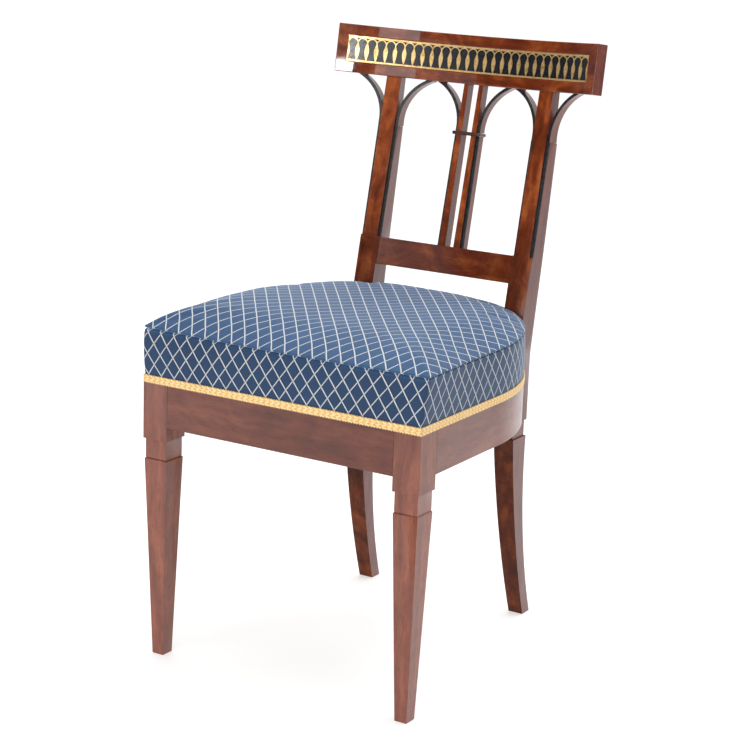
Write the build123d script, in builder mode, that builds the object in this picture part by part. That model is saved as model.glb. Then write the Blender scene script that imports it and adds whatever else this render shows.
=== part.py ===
from build123d import *
import math
import os

# Side chair in millimetres: +X is the sitter's left, +Y points to the back, +Z is up

# Seat frame
seat_width = 450.0          # across the outer faces of the front legs and side rails
rail_bottom = 344.0         # underside of the seat rails above the floor
rail_show = 62.0            # bare wood below the braid
rail_hidden = 18.0          # upper strip of the rails, set back for the cover
rail_thickness = 24.0
rear_rail_thickness = 22.0
rear_rail_radius = 534.0    # centre line of the bowed rear rail
side_straight = 215.0       # straight run of a side rail, from the front face

# Front legs
front_block_width = 41.0
front_block_depth = 42.0
front_block_drop = 20.0     # block below the rail
front_neck_height = 28.0
neck_inset = 2.6            # neck inside the block, each side
front_shoulder_inset = 1.4  # shoulder inside the block, each side
shoulder_chamfer = 2.0
front_foot_width = 19.0
front_foot_depth = 21.0

# Back legs: sabre leg, block at the seat and raked stile above
post_draw_in = 93.0         # back leg centres inside the seat sides
post_width = 33.0
post_depth = 40.5
post_setback = 410.0        # front face of the seat to the front of the back legs
rear_block_drop = 26.0
rear_neck_height = 25.0
rear_foot_width = 24.0
rear_foot_depth = 22.0
rear_foot_sweep = 62.0      # foot behind the front of the block
sabre_front_sag = 9.3
sabre_rear_sag = 15.0

# Curved and raked back
back_rake = 8.66            # degrees from upright
back_lift = 16.0            # reference level of the back above the seat rails
back_hollow = 43.4          # hollow face behind the front of the back legs at that level
back_radius = 534.0         # hollow face of the crest and the cross rail
stile_draw_in = 1.9         # stile centres under the crest inside those at the seat
stile_width = 33.0          # under the crest
stile_depth = 24.0          # where the ribs spring
stile_turn = 8.0            # degrees the stiles turn to follow the hollow
rebate_depth = 5.0
strip_width = 4.4           # rebated strip beside the front face of a stile or colonnette
stile_setback = 1.0         # stile face behind the crest face

# Crest rail and its inlaid panel
crest_bottom_run = 365.3    # up the rake from the reference level
crest_height = 73.0
crest_overhang = 94.1       # beyond the stile centres
crest_thickness = 18.7
panel_margin = 17.0
panel_recess = 2.6
ground_thickness = 1.4
fret_thickness = 1.0
arch_count = 28
top_border = 2.8
bottom_border = 2.6
arch_line = 1.5             # gilt line round an arch head
arch_lap = 0.3              # arch heads run into the top border
lance_width = 6.8
lance_shoulder = 8.6        # widest place of a lance below the arch springing
lance_tip = 0.8

# Cross rail, colonnettes, collar and arch ribs
cross_rail_height = 41.5
cross_rail_bottom_run = 79.0
cross_rail_thickness = 18.0
cross_rail_setback = 0.6
colonnette_spacing = 25.0
colonnette_foot_width = 11.0
colonnette_head_width = 7.4
colonnette_depth = 17.5
colonnette_setback = 0.5    # colonnette foot behind the cross rail face
collar_height = 5.4
collar_proud = 2.8
collar_chamfer = 1.6
rib_rise = 65.3             # from the springing to the crest
rib_stem = 8.3              # upright foot of a rib
rib_gap = 4.2               # between two ribs where they meet the crest
rib_depth = 12.0
rib_let_in = 0.5            # rib back let into the post beside it
rib_over = 3.0              # rib run past its ends before they are trimmed
line_thickness = 1.0        # ebonised line on the floor of a rebate

# Tenons
tenon_length = 20.0
tenon_thickness = 9.0
tenon_shoulder = 12.0       # above and below the seat rail tenons
cross_tenon_length = 14.0
cross_tenon_thickness = 7.0
cross_tenon_height = 26.0
crest_tenon_width = 12.0
crest_tenon_thickness = 7.0
crest_tenon_length = 18.0
colonnette_tenon_width = 4.0
colonnette_tenon_length = 10.0

# Corner blocks and their screws
corner_leg = 60.0           # along each rail
corner_height = 35.0
corner_lift = 1.0
screw_lift = 8.0
screw_shank = 4.0
screw_length = 42.0
screw_head = 8.0
screw_head_height = 2.4
rear_screw_turn = 40.0      # degrees from the X axis

# Upholstery
web_width = 48.0
web_thickness = 1.6
web_edge = 4.0              # strap ends inside the cover line
web_long_pitch = 56.0
web_cross_pitch = 75.0
web_cross_first = 80.0
web_count = 4
hessian_thickness = 0.8
cover_thickness = 1.5
cover_inset = 1.0           # cover face behind the rail face
cover_gap = 0.3             # play between the cover and the rails
stuffing_gap = 0.3
seam_height = 78.0          # top seam above the ledge
seam_inset = 3.5
side_swell = 0.4            # boxing proud of the rail face at its fullest
cover_corner = 6.0
crown_height = 28.0
crown_share = 0.22          # slope of the crown as a share of the seat width
crown_power = 2.6           # how quickly the crown rises from the seam
braid_height = 12.0
braid_gap = 0.1             # glue line behind the braid
braid_proud = 0.8

# Derived places
sin_rake = math.sin(math.radians(back_rake))
cos_rake = math.cos(math.radians(back_rake))
crest_top_run = crest_bottom_run + crest_height
rib_spring_run = crest_bottom_run - rib_rise
rib_base_run = rib_spring_run - rib_stem
back_depth = post_setback + back_hollow
rear_reach = back_depth + crest_top_run * sin_rake + crest_thickness * cos_rake
front_face = (braid_proud - rear_reach) / 2
back_y = front_face + back_depth
cover_rebate = cover_inset + cover_thickness + cover_gap
ledge = rail_bottom + rail_show
rail_top = ledge + rail_hidden
back_height = rail_top + back_lift
tenon_height = rail_show - 2 * tenon_shoulder
tenon_z = (rail_bottom + ledge) / 2
side_x = seat_width / 2
block_bottom = rail_bottom - front_block_drop
shoulder = block_bottom - front_neck_height
block_inner = side_x - front_block_width
block_back = front_face + front_block_depth
leg_x = side_x - front_block_width / 2
leg_y = front_face + front_block_depth / 2
post_x = side_x - post_draw_in
stile_x = post_x - stile_draw_in
post_inner = post_x - post_width / 2
post_outer = post_x + post_width / 2
post_front = front_face + post_setback
post_back = post_front + post_depth
post_middle = post_front + post_depth / 2
rear_block_bottom = rail_bottom - rear_block_drop
rear_shoulder = rear_block_bottom - rear_neck_height

# The side rails bend on an arc that is tangent to the side and ends at the back leg
bend_in = side_x - post_outer
bend_back = post_setback - side_straight
bend_radius = (bend_in**2 + bend_back**2) / (2 * bend_in)
bend_x = side_x - bend_radius
bend_y = front_face + side_straight
rear_arc_y = post_middle - math.sqrt(rear_rail_radius**2 - post_inner**2)


def circle_point(center, radius, degrees):
    """Point on a circle at an angle from +X."""
    turn = math.radians(degrees)
    return (center[0] + radius * math.cos(turn), center[1] + radius * math.sin(turn))


def bend_point(inset, y):
    """Point of the bend, a given distance inside the outer face of the side rail."""
    return (bend_x + math.sqrt((bend_radius - inset) ** 2 - (y - bend_y) ** 2), y)


def bend_middle(inset, y):
    """Point half way along the bend from its start to the given y."""
    half = math.asin((y - bend_y) / (bend_radius - inset)) / 2
    return circle_point((bend_x, bend_y), bend_radius - inset, math.degrees(half))


def rear_corner(inset):
    """Where the inset side bend crosses the inset face of the rear rail."""
    side = bend_radius - inset
    rear = rear_rail_radius + rear_rail_thickness / 2 - inset
    step_x = -bend_x
    step_y = rear_arc_y - bend_y
    span = math.hypot(step_x, step_y)
    along = (side**2 - rear**2 + span**2) / (2 * span)
    across = math.sqrt(side**2 - along**2)
    x = bend_x + (along * step_x - across * step_y) / span
    y = bend_y + (along * step_y + across * step_x) / span
    return (abs(x), y)


def seat_outline(inset):
    """Plan of the seat, a given distance inside the rail faces, with rounded front corners."""
    edge = side_x - inset
    front = front_face + inset
    corner = rear_corner(inset)
    middle = bend_middle(inset, corner[1])
    rear_y = rear_arc_y + rear_rail_radius + rear_rail_thickness / 2 - inset
    arc = cover_corner * (1 - math.sqrt(0.5))
    with BuildSketch() as outline:
        with BuildLine():
            Line((-edge + cover_corner, front), (edge - cover_corner, front))
            ThreePointArc((edge - cover_corner, front), (edge - arc, front + arc),
                          (edge, front + cover_corner))
            Line((edge, front + cover_corner), (edge, bend_y))
            ThreePointArc((edge, bend_y), middle, corner)
            ThreePointArc(corner, (0, rear_y), (-corner[0], corner[1]))
            ThreePointArc((-corner[0], corner[1]), (-middle[0], middle[1]), (-edge, bend_y))
            Line((-edge, bend_y), (-edge, front + cover_corner))
            ThreePointArc((-edge, front + cover_corner), (-edge + arc, front + arc),
                          (-edge + cover_corner, front))
        make_face()
    return outline.sketch


def back_plane(run):
    """Plane square to the rake of the back, a given way up it; its Y runs towards the rear."""
    return Plane(
        origin=(0, back_y + run * sin_rake, back_height + run * cos_rake),
        x_dir=(1, 0, 0),
        z_dir=(0, sin_rake, cos_rake),
    )


def hollow_plane(run, along):
    """Plane touching the hollow face, a given way along its arc; its Y runs up the rake."""
    turn = along / back_radius
    level = back_plane(run)
    spot = level.from_local_coords(
        Vector(back_radius * math.sin(turn), back_radius * (math.cos(turn) - 1), 0))
    tip = level.from_local_coords(Vector(math.cos(turn), -math.sin(turn), 0))
    inward = level.from_local_coords(Vector(-math.sin(turn), -math.cos(turn), 0))
    return Plane(origin=spot, x_dir=tip - level.origin, z_dir=inward - level.origin)


def hollow_drop(x):
    """How far the hollow face comes forward at x from its middle."""
    return back_radius - math.sqrt(back_radius**2 - x**2)


# Stile places, measured on the raked planes of the back
seat_run = (post_front - back_y) * sin_rake + (rail_top - back_height) * cos_rake
seat_front = (post_front - back_y) * cos_rake - (rail_top - back_height) * sin_rake
crest_front = -hollow_drop(stile_x) + stile_setback


def blend(run, at_seat, at_crest):
    """Value part way up a stile, in proportion."""
    share = (run - seat_run) / (crest_bottom_run - seat_run)
    return at_seat + share * (at_crest - at_seat)


def stile_deep(run):
    """Depth of a stile: it tapers up to the ribs, then runs out to the back of the crest."""
    if run <= rib_base_run:
        share = (run - seat_run) / (rib_base_run - seat_run)
        return post_depth / cos_rake + share * (stile_depth - post_depth / cos_rake)
    share = (run - rib_base_run) / (crest_bottom_run - rib_base_run)
    return stile_depth + share * (crest_thickness - stile_setback - stile_depth)


def stile_outline(run, shape):
    """Section of the left stile at a height: full, rebated at its front corners, or core."""
    half = blend(run, post_width, stile_width) / 2
    core = half - strip_width
    deep = stile_deep(run)
    if shape == "full":
        corners = [(-half, 0), (half, 0), (half, deep), (-half, deep)]
    elif shape == "rebated":
        corners = [(-core, 0), (core, 0), (core, rebate_depth), (half, rebate_depth),
                   (half, deep), (-half, deep), (-half, rebate_depth), (-core, rebate_depth)]
    else:
        corners = [(-core, 0), (core, 0), (core, deep), (-core, deep)]
    return [stile_point(run, across, back) for across, back in corners]


def stile_point(run, across, back):
    """Place on a raked plane of a point given across and behind the stile's front face."""
    turn = math.radians(blend(run, 0, stile_turn))
    x = blend(run, post_x, stile_x)
    y = blend(run, seat_front, crest_front)
    return (x + across * math.cos(turn) + back * math.sin(turn),
            y - across * math.sin(turn) + back * math.cos(turn))


# Cross rail: flush with the stiles, so it leans as their front faces do
cross_top_run = cross_rail_bottom_run + cross_rail_height
notch_run = cross_top_run + line_thickness
stile_lean = math.atan2(crest_front - seat_front, crest_bottom_run - seat_run)
cross_middle_run = (cross_rail_bottom_run + cross_top_run) / 2
cross_end = stile_point(cross_middle_run, -blend(cross_middle_run, post_width, stile_width) / 2, 0)
cross_front = cross_end[1] + hollow_drop(cross_end[0]) + cross_rail_setback
cross_rake = math.radians(back_rake) + stile_lean
cross_bottom_front = cross_front - math.tan(stile_lean) * cross_rail_height / 2
cross_plane = Plane(
    origin=back_plane(cross_rail_bottom_run).from_local_coords(Vector(0, cross_bottom_front, 0)),
    x_dir=(1, 0, 0),
    z_dir=(0, math.sin(cross_rake), math.cos(cross_rake)),
)
cross_angle = math.degrees(math.asin((cross_end[0] + cross_rail_setback) / back_radius))
cross_tenon_y = cross_rail_thickness / 2 - hollow_drop(cross_end[0])
cross_top = cross_plane.offset(cross_rail_height)
colonnette_foot_front = (cross_front + math.tan(stile_lean) * cross_rail_height / 2
                         + colonnette_setback)
colonnette_tenon_y = colonnette_setback + colonnette_depth / 2

# Tenon places
crest_tenon_at = stile_point(crest_bottom_run, 0, stile_deep(crest_bottom_run) / 2)
front_tenon = (block_inner + tenon_length / 2, front_face + rail_thickness / 2, tenon_z)
side_tenon = (side_x - rail_thickness / 2, block_back - tenon_length / 2, tenon_z)
post_tenon = (post_x, post_front + tenon_length / 2 - tenon_thickness / 2, tenon_z)
rear_tenon = (post_inner + tenon_length / 4, post_middle + tenon_thickness / 2, tenon_z)

# Screws run from the middle of each corner block's long face into the leg behind it
front_screw_at = Vector(side_x - rail_thickness - corner_leg / 2,
                        front_face + rail_thickness + corner_leg / 2, rail_bottom + screw_lift)
front_screw_way = Vector(1, -1, 0)
rear_block_end = bend_point(rail_thickness / 2, post_front - corner_leg)
rear_block_inner = post_inner - corner_leg
rear_block_y = post_middle - rear_rail_thickness / 4
rear_screw_way = Vector(math.cos(math.radians(rear_screw_turn)),
                        math.sin(math.radians(rear_screw_turn)), 0)
rear_rail_front = rear_arc_y + math.sqrt(
    (rear_rail_radius - rear_rail_thickness / 2) ** 2 - post_inner**2)
rear_screw_gate = Vector(post_inner, (post_front + rear_rail_front) / 2, rail_bottom + screw_lift)
face_x = rear_block_end[0] - rear_block_inner
face_y = rear_block_end[1] - rear_block_y
gate_x = rear_screw_gate.X - rear_block_inner
gate_y = rear_screw_gate.Y - rear_block_y
screw_in_block = ((face_x * gate_y - face_y * gate_x)
                  / (face_x * rear_screw_way.Y - face_y * rear_screw_way.X))
rear_screw_at = rear_screw_gate - rear_screw_way * screw_in_block

with BuildPart() as corner_block_screws:
    for spot, way in ((front_screw_at, front_screw_way), (rear_screw_at, rear_screw_way)):
        with BuildSketch(Plane(origin=spot, z_dir=way)):
            Circle(screw_shank / 2)
        extrude(amount=screw_length)
        with BuildSketch(Plane(origin=spot, z_dir=way)):
            Circle(screw_head / 2)
        extrude(amount=-screw_head_height)
    mirror(about=Plane.YZ)

with BuildPart() as front_leg_left:
    with BuildSketch(Plane.XY):
        with Locations((leg_x, leg_y)):
            Rectangle(front_foot_width, front_foot_depth)
    with BuildSketch(Plane.XY.offset(shoulder)):
        with Locations((leg_x, leg_y)):
            Rectangle(front_block_width - 2 * front_shoulder_inset,
                      front_block_depth - 2 * front_shoulder_inset)
    loft(ruled=True)
    chamfer(front_leg_left.faces().sort_by(Axis.Z)[-1].edges(), shoulder_chamfer)
    with BuildSketch(Plane.XY.offset(shoulder)):
        with Locations((leg_x, leg_y)):
            Rectangle(front_block_width - 2 * neck_inset, front_block_depth - 2 * neck_inset)
    extrude(amount=front_neck_height)
    with BuildSketch(Plane.XY.offset(block_bottom)):
        with Locations((leg_x, leg_y)):
            Rectangle(front_block_width, front_block_depth)
    extrude(amount=ledge - block_bottom)
    with BuildSketch(Plane.XY.offset(ledge)):
        with Locations((leg_x, leg_y)):
            Rectangle(front_block_width, front_block_depth)
        add(seat_outline(cover_rebate), mode=Mode.INTERSECT)
    extrude(amount=rail_hidden)
    with Locations(front_tenon):
        Box(tenon_length, tenon_thickness, tenon_height, mode=Mode.SUBTRACT)
    with Locations(side_tenon):
        Box(tenon_thickness, tenon_length, tenon_height, mode=Mode.SUBTRACT)
    add(corner_block_screws.part, mode=Mode.SUBTRACT)

with BuildPart() as front_leg_right:
    mirror(front_leg_left.part, about=Plane.YZ)

with BuildPart() as back_leg_left:
    # Sabre leg, cut to its side curves and then tapered as seen from the front
    foot_front = post_front + rear_foot_sweep
    foot_back = foot_front + rear_foot_depth
    middle_z = rear_shoulder / 2
    front_middle = (post_front + foot_front) / 2 - sabre_front_sag
    rear_middle = (post_back + foot_back) / 2 - sabre_rear_sag
    with BuildSketch(Plane.YZ.offset(post_inner)):
        with BuildLine():
            ThreePointArc((post_front, rear_shoulder), (front_middle, middle_z), (foot_front, 0))
            Line((foot_front, 0), (foot_back, 0))
            ThreePointArc((foot_back, 0), (rear_middle, middle_z), (post_back, rear_shoulder))
            Line((post_back, rear_shoulder), (post_front, rear_shoulder))
        make_face()
    extrude(amount=post_width)
    with BuildSketch(Plane.XZ):
        with BuildLine():
            Polyline((post_inner, rear_shoulder), (post_outer, rear_shoulder), (post_outer, 0),
                     (post_outer - rear_foot_width, 0), close=True)
        make_face()
    extrude(amount=rear_reach, both=True, mode=Mode.INTERSECT)
    with BuildSketch(Plane.XY.offset(rear_shoulder)):
        with Locations((post_x, post_middle)):
            Rectangle(post_width - 2 * neck_inset, post_depth - 2 * neck_inset)
    extrude(amount=rear_neck_height)
    # Block beside the seat rails, ending where the stile starts to lean
    block_rear_z = rail_top - post_depth * sin_rake / cos_rake
    with BuildSketch(Plane.YZ.offset(post_inner)):
        with BuildLine():
            Polyline((post_front, rear_block_bottom), (post_back, rear_block_bottom),
                     (post_back, block_rear_z), (post_front, rail_top), close=True)
        make_face()
    extrude(amount=post_width)
    for lower, upper, shape in ((seat_run, notch_run, "full"),
                                (notch_run, rib_base_run, "rebated"),
                                (rib_base_run, crest_bottom_run, "core")):
        for run in (lower, upper):
            with BuildSketch(back_plane(run)):
                with BuildLine():
                    Polyline(*stile_outline(run, shape), close=True)
                make_face()
        loft(ruled=True)
    with BuildSketch(back_plane(crest_bottom_run)):
        with Locations(Location(crest_tenon_at, -stile_turn)):
            Rectangle(crest_tenon_width, crest_tenon_thickness)
    extrude(amount=crest_tenon_length)
    # Mortises for the side rail, the rear rail and the cross rail
    with Locations(post_tenon):
        Box(tenon_thickness, tenon_length - tenon_thickness, tenon_height, mode=Mode.SUBTRACT)
    with Locations(rear_tenon):
        Box(tenon_length / 2, tenon_thickness, tenon_height, mode=Mode.SUBTRACT)
    with BuildSketch(cross_plane.offset((cross_rail_height - cross_tenon_height) / 2)):
        with Locations((cross_end[0], cross_tenon_y)):
            Rectangle(2 * cross_tenon_length, cross_tenon_thickness)
    extrude(amount=cross_tenon_height, mode=Mode.SUBTRACT)
    add(corner_block_screws.part, mode=Mode.SUBTRACT)

with BuildPart() as back_leg_right:
    mirror(back_leg_left.part, about=Plane.YZ)

with BuildPart() as front_seat_rail:
    for base, height, inset in ((rail_bottom, rail_show, 0), (ledge, rail_hidden, cover_rebate)):
        with BuildSketch(Plane.XY.offset(base)):
            with Locations((0, front_face + (rail_thickness + inset) / 2)):
                Rectangle(2 * block_inner, rail_thickness - inset)
        extrude(amount=height)
    with Locations(front_tenon, (-front_tenon[0], front_tenon[1], front_tenon[2])):
        Box(tenon_length, tenon_thickness, tenon_height)

with BuildPart() as side_seat_rail_left:
    for base, height, inset in ((rail_bottom, rail_show, 0), (ledge, rail_hidden, cover_rebate)):
        outer_end = bend_point(inset, post_front)
        inner_end = bend_point(rail_thickness, post_front)
        with BuildSketch(Plane.XY.offset(base)):
            with BuildLine():
                Line((side_x - inset, block_back), (side_x - inset, bend_y))
                ThreePointArc((side_x - inset, bend_y), bend_middle(inset, post_front), outer_end)
                Line(outer_end, inner_end)
                ThreePointArc(inner_end, bend_middle(rail_thickness, post_front),
                              (side_x - rail_thickness, bend_y))
                Line((side_x - rail_thickness, bend_y), (side_x - rail_thickness, block_back))
                Line((side_x - rail_thickness, block_back), (side_x - inset, block_back))
            make_face()
        extrude(amount=height)
    with Locations(side_tenon):
        Box(tenon_thickness, tenon_length, tenon_height)
    with Locations(post_tenon):
        Box(tenon_thickness, tenon_length - tenon_thickness, tenon_height)
    add(corner_block_screws.part, mode=Mode.SUBTRACT)

with BuildPart() as side_seat_rail_right:
    mirror(side_seat_rail_left.part, about=Plane.YZ)

with BuildPart() as rear_seat_rail:
    rear_angle = math.degrees(math.asin(post_x / rear_rail_radius))
    for base, height, inset in ((rail_bottom, rail_show, 0), (ledge, rail_hidden, cover_rebate)):
        near = rear_rail_radius - rear_rail_thickness / 2
        far = rear_rail_radius + rear_rail_thickness / 2 - inset
        with BuildSketch(Plane.XY.offset(base)):
            with BuildLine():
                swing = CenterArc((0, rear_arc_y), far, 90 - rear_angle, 2 * rear_angle)
                inner = CenterArc((0, rear_arc_y), near, 90 - rear_angle, 2 * rear_angle)
                Line(swing @ 0, inner @ 0)
                Line(swing @ 1, inner @ 1)
            make_face()
            add(seat_outline(inset), mode=Mode.INTERSECT)
        extrude(amount=height)
    with BuildSketch(Plane.XY.offset(rail_bottom)):
        Rectangle(2 * post_inner, 4 * rear_reach)
    extrude(amount=rail_top, mode=Mode.INTERSECT)
    with Locations(rear_tenon, (-rear_tenon[0], rear_tenon[1], rear_tenon[2])):
        Box(tenon_length / 2, tenon_thickness, tenon_height)

with BuildPart() as cross_rail:
    with BuildSketch(cross_plane):
        with BuildLine():
            swing = CenterArc((0, -back_radius), back_radius + cross_rail_thickness,
                              90 - cross_angle, 2 * cross_angle)
            inner = CenterArc((0, -back_radius), back_radius, 90 - cross_angle, 2 * cross_angle)
            Line(swing @ 0, inner @ 0)
            Line(swing @ 1, inner @ 1)
        make_face()
    extrude(amount=cross_rail_height)
    add(back_leg_left.part, mode=Mode.SUBTRACT)
    add(back_leg_right.part, mode=Mode.SUBTRACT)
    with BuildSketch(cross_plane.offset((cross_rail_height - cross_tenon_height) / 2)):
        with Locations((cross_end[0], cross_tenon_y), (-cross_end[0], cross_tenon_y)):
            Rectangle(2 * cross_tenon_length, cross_tenon_thickness)
    extrude(amount=cross_tenon_height)
    with BuildSketch(cross_top):
        with Locations((colonnette_spacing / 2, colonnette_tenon_y),
                       (-colonnette_spacing / 2, colonnette_tenon_y)):
            Rectangle(colonnette_tenon_width, crest_tenon_thickness)
    extrude(amount=-colonnette_tenon_length, mode=Mode.SUBTRACT)


def colonnette_outline(run, with_strip):
    """Section of the left colonnette at a height, with its rebated outer strip or without."""
    share = (run - cross_top_run) / (crest_bottom_run - cross_top_run)
    half = (colonnette_foot_width + share * (colonnette_head_width - colonnette_foot_width)) / 2
    front = colonnette_foot_front + share * (stile_setback - colonnette_foot_front)
    near = colonnette_spacing / 2 - half
    far = colonnette_spacing / 2 + half
    back = front + colonnette_depth
    if with_strip:
        return [(near, front), (far, front), (far, front + rebate_depth),
                (far + strip_width, front + rebate_depth), (far + strip_width, back), (near, back)]
    return [(near, front), (far, front), (far, back), (near, back)]


with BuildPart() as colonnette_left:
    for lower, upper, with_strip in ((cross_top_run - rib_over, rib_base_run, True),
                                     (rib_base_run, crest_bottom_run, False)):
        for run in (lower, upper):
            with BuildSketch(back_plane(run)):
                with BuildLine():
                    Polyline(*colonnette_outline(run, with_strip), close=True)
                make_face()
        loft(ruled=True)
    split(bisect_by=cross_top, keep=Keep.TOP)
    with BuildSketch(cross_top):
        with Locations((colonnette_spacing / 2, colonnette_tenon_y)):
            Rectangle(colonnette_tenon_width, crest_tenon_thickness)
    extrude(amount=-colonnette_tenon_length)
    with BuildSketch(back_plane(crest_bottom_run)):
        with Locations((colonnette_spacing / 2, stile_setback + colonnette_depth / 2)):
            Rectangle(colonnette_tenon_width, crest_tenon_thickness)
    extrude(amount=colonnette_tenon_length)

with BuildPart() as colonnette_right:
    mirror(colonnette_left.part, about=Plane.YZ)

with BuildPart() as colonnette_collar:
    collar_bottom_run = rib_base_run - collar_height / 2
    collar_corners = colonnette_outline(rib_base_run, True)
    collar_half = collar_corners[3][0] + collar_proud
    collar_front = collar_corners[0][1] - collar_proud
    collar_deep = colonnette_depth + 2 * collar_proud
    with BuildSketch(back_plane(collar_bottom_run)):
        with Locations((0, collar_front + collar_deep / 2)):
            RectangleRounded(2 * collar_half, collar_deep, collar_proud)
    extrude(amount=collar_height)
    rims = colonnette_collar.edges().group_by(Axis((0, 0, 0), (0, sin_rake, cos_rake)))
    chamfer(rims[0] + rims[-1], collar_chamfer)
    add(colonnette_left.part, mode=Mode.SUBTRACT)
    add(colonnette_right.part, mode=Mode.SUBTRACT)


# Ribs and ebonised lines follow the rebates; the ribs of a bay share one underside radius
line_front = rebate_depth - line_thickness
stile_along = back_radius * math.asin(stile_x / back_radius)
colonnette_side = colonnette_outline(rib_spring_run, False)[1][0]
half_span = (stile_along - stile_width / 2 - colonnette_side - strip_width - rib_gap) / 2
rib_radius = (half_span**2 + rib_rise**2) / (2 * half_span)


def stile_line(run, way):
    """Foot of a stile's rebate wall on the face of its line, on the inner or outer side."""
    core = blend(run, post_width, stile_width) / 2 - strip_width
    return back_plane(run).from_local_coords(Vector(*stile_point(run, way * core, line_front), 0))


def colonnette_line(run):
    """Foot of a colonnette's rebate wall on the face of its line."""
    corner = colonnette_outline(run, True)[2]
    return back_plane(run).from_local_coords(Vector(corner[0], corner[1] - line_thickness, 0))


def rib_plane(low, high):
    """Plane that rises along a line from low to high and faces the hollow of the back."""
    up = (high - low).normalized()
    along = back_radius * math.asin(high.X / back_radius)
    facing = hollow_plane(crest_bottom_run, along).x_dir.cross(up).normalized()
    return Plane(origin=high, x_dir=up.cross(facing), z_dir=facing)


def arc_middle(center, radius, way):
    """Point half way up a rib's arc."""
    half = math.asin(rib_rise / radius) / 2
    return (center[0] - way * radius * math.cos(half), center[1] + radius * math.sin(half))


def rib_outline(way, foot):
    """Strip that stands against a post, then bends over to the crest on an arc."""
    back = -way * rib_let_in
    face = way * strip_width
    outer = rib_radius + strip_width + rib_let_in
    center = (face + way * rib_radius, -rib_rise)
    outer_end = center[0] - way * math.sqrt(outer**2 - rib_rise**2)
    inner_end = center[0] - way * math.sqrt(rib_radius**2 - rib_rise**2)
    with BuildSketch() as outline:
        with BuildLine():
            ThreePointArc((back, -rib_rise), arc_middle(center, outer, way), (outer_end, 0))
            Polyline((outer_end, 0), (outer_end, rib_over), (inner_end, rib_over), (inner_end, 0))
            ThreePointArc((inner_end, 0), arc_middle(center, rib_radius, way), (face, -rib_rise))
            Polyline((face, -rib_rise), (face, foot), (back, foot), (back, -rib_rise))
        make_face()
    return outline.sketch


rib_places = {
    "inner_arch_rib": (rib_plane(stile_line(rib_base_run, -1), stile_line(crest_bottom_run, -1)),
                       -1, rib_base_run, back_leg_left),
    "outer_arch_rib": (rib_plane(stile_line(rib_base_run, 1), stile_line(crest_bottom_run, 1)),
                       1, rib_base_run, back_leg_left),
    "colonnette_arch_rib": (rib_plane(colonnette_line(rib_base_run), colonnette_line(crest_bottom_run)),
                            1, rib_base_run + collar_height / 2, colonnette_left),
}
arch_ribs = []
for rib_name, (plane, way, base, post) in rib_places.items():
    with BuildPart() as arch_rib:
        with BuildSketch(plane):
            add(rib_outline(way, base - crest_bottom_run - rib_over))
        extrude(amount=-rib_depth)
        split(bisect_by=back_plane(crest_bottom_run), keep=Keep.BOTTOM)
        split(bisect_by=back_plane(base), keep=Keep.TOP)
        add(post.part, mode=Mode.SUBTRACT)
    with BuildPart() as mirrored_rib:
        mirror(arch_rib.part, about=Plane.YZ)
    arch_rib.part.label = rib_name + "_left"
    mirrored_rib.part.label = rib_name + "_right"
    arch_ribs += [arch_rib.part, mirrored_rib.part]

ebony_lines = []
for line_name, way in (("inner_ebony_line", -1), ("outer_ebony_line", 1)):
    with BuildPart() as ebony_line:
        for run in (notch_run, rib_base_run):
            far = way * blend(run, post_width, stile_width) / 2
            near = far - way * strip_width
            with BuildSketch(back_plane(run)):
                with BuildLine():
                    Polyline(stile_point(run, near, line_front), stile_point(run, far, line_front),
                             stile_point(run, far, rebate_depth),
                             stile_point(run, near, rebate_depth), close=True)
                make_face()
        loft(ruled=True)
    with BuildPart() as mirrored_line:
        mirror(ebony_line.part, about=Plane.YZ)
    ebony_line.part.label = line_name + "_left"
    mirrored_line.part.label = line_name + "_right"
    ebony_lines += [ebony_line.part, mirrored_line.part]

with BuildPart() as colonnette_ebony_line_left:
    for run in (cross_top_run - rib_over, collar_bottom_run):
        corner, edge = colonnette_outline(run, True)[2:4]
        with BuildSketch(back_plane(run)):
            with BuildLine():
                Polyline(corner, edge, (edge[0], edge[1] - line_thickness),
                         (corner[0], corner[1] - line_thickness), close=True)
            make_face()
    loft(ruled=True)
    split(bisect_by=cross_top, keep=Keep.TOP)

with BuildPart() as colonnette_ebony_line_right:
    mirror(colonnette_ebony_line_left.part, about=Plane.YZ)

# Crest: a curved board with a shallow recess for the panel
crest_length = 2 * (stile_along + crest_overhang)
panel_length = crest_length - 2 * panel_margin
panel_bottom_run = crest_bottom_run + panel_margin
panel_height = crest_height - 2 * panel_margin


def hollow_band(near, far, length):
    """Plan of a curved board between two depths behind the hollow face."""
    half = math.degrees(length / 2 / back_radius)
    with BuildSketch() as band:
        with BuildLine():
            outer = CenterArc((0, -back_radius), back_radius + far, 90 - half, 2 * half)
            inner = CenterArc((0, -back_radius), back_radius + near, 90 - half, 2 * half)
            Line(outer @ 0, inner @ 0)
            Line(outer @ 1, inner @ 1)
        make_face()
    return band.sketch


with BuildPart() as crest_rail:
    with BuildSketch(back_plane(crest_bottom_run)):
        add(hollow_band(0, crest_thickness, crest_length))
    extrude(amount=crest_height)
    with BuildSketch(back_plane(panel_bottom_run)):
        add(hollow_band(-panel_recess, panel_recess, panel_length))
    extrude(amount=panel_height, mode=Mode.SUBTRACT)
    for post in (back_leg_left, back_leg_right, colonnette_left, colonnette_right):
        add(post.part, mode=Mode.SUBTRACT)

with BuildPart() as crest_panel_ground:
    with BuildSketch(back_plane(panel_bottom_run)):
        add(hollow_band(panel_recess - ground_thickness, panel_recess, panel_length))
    extrude(amount=panel_height)

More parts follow.
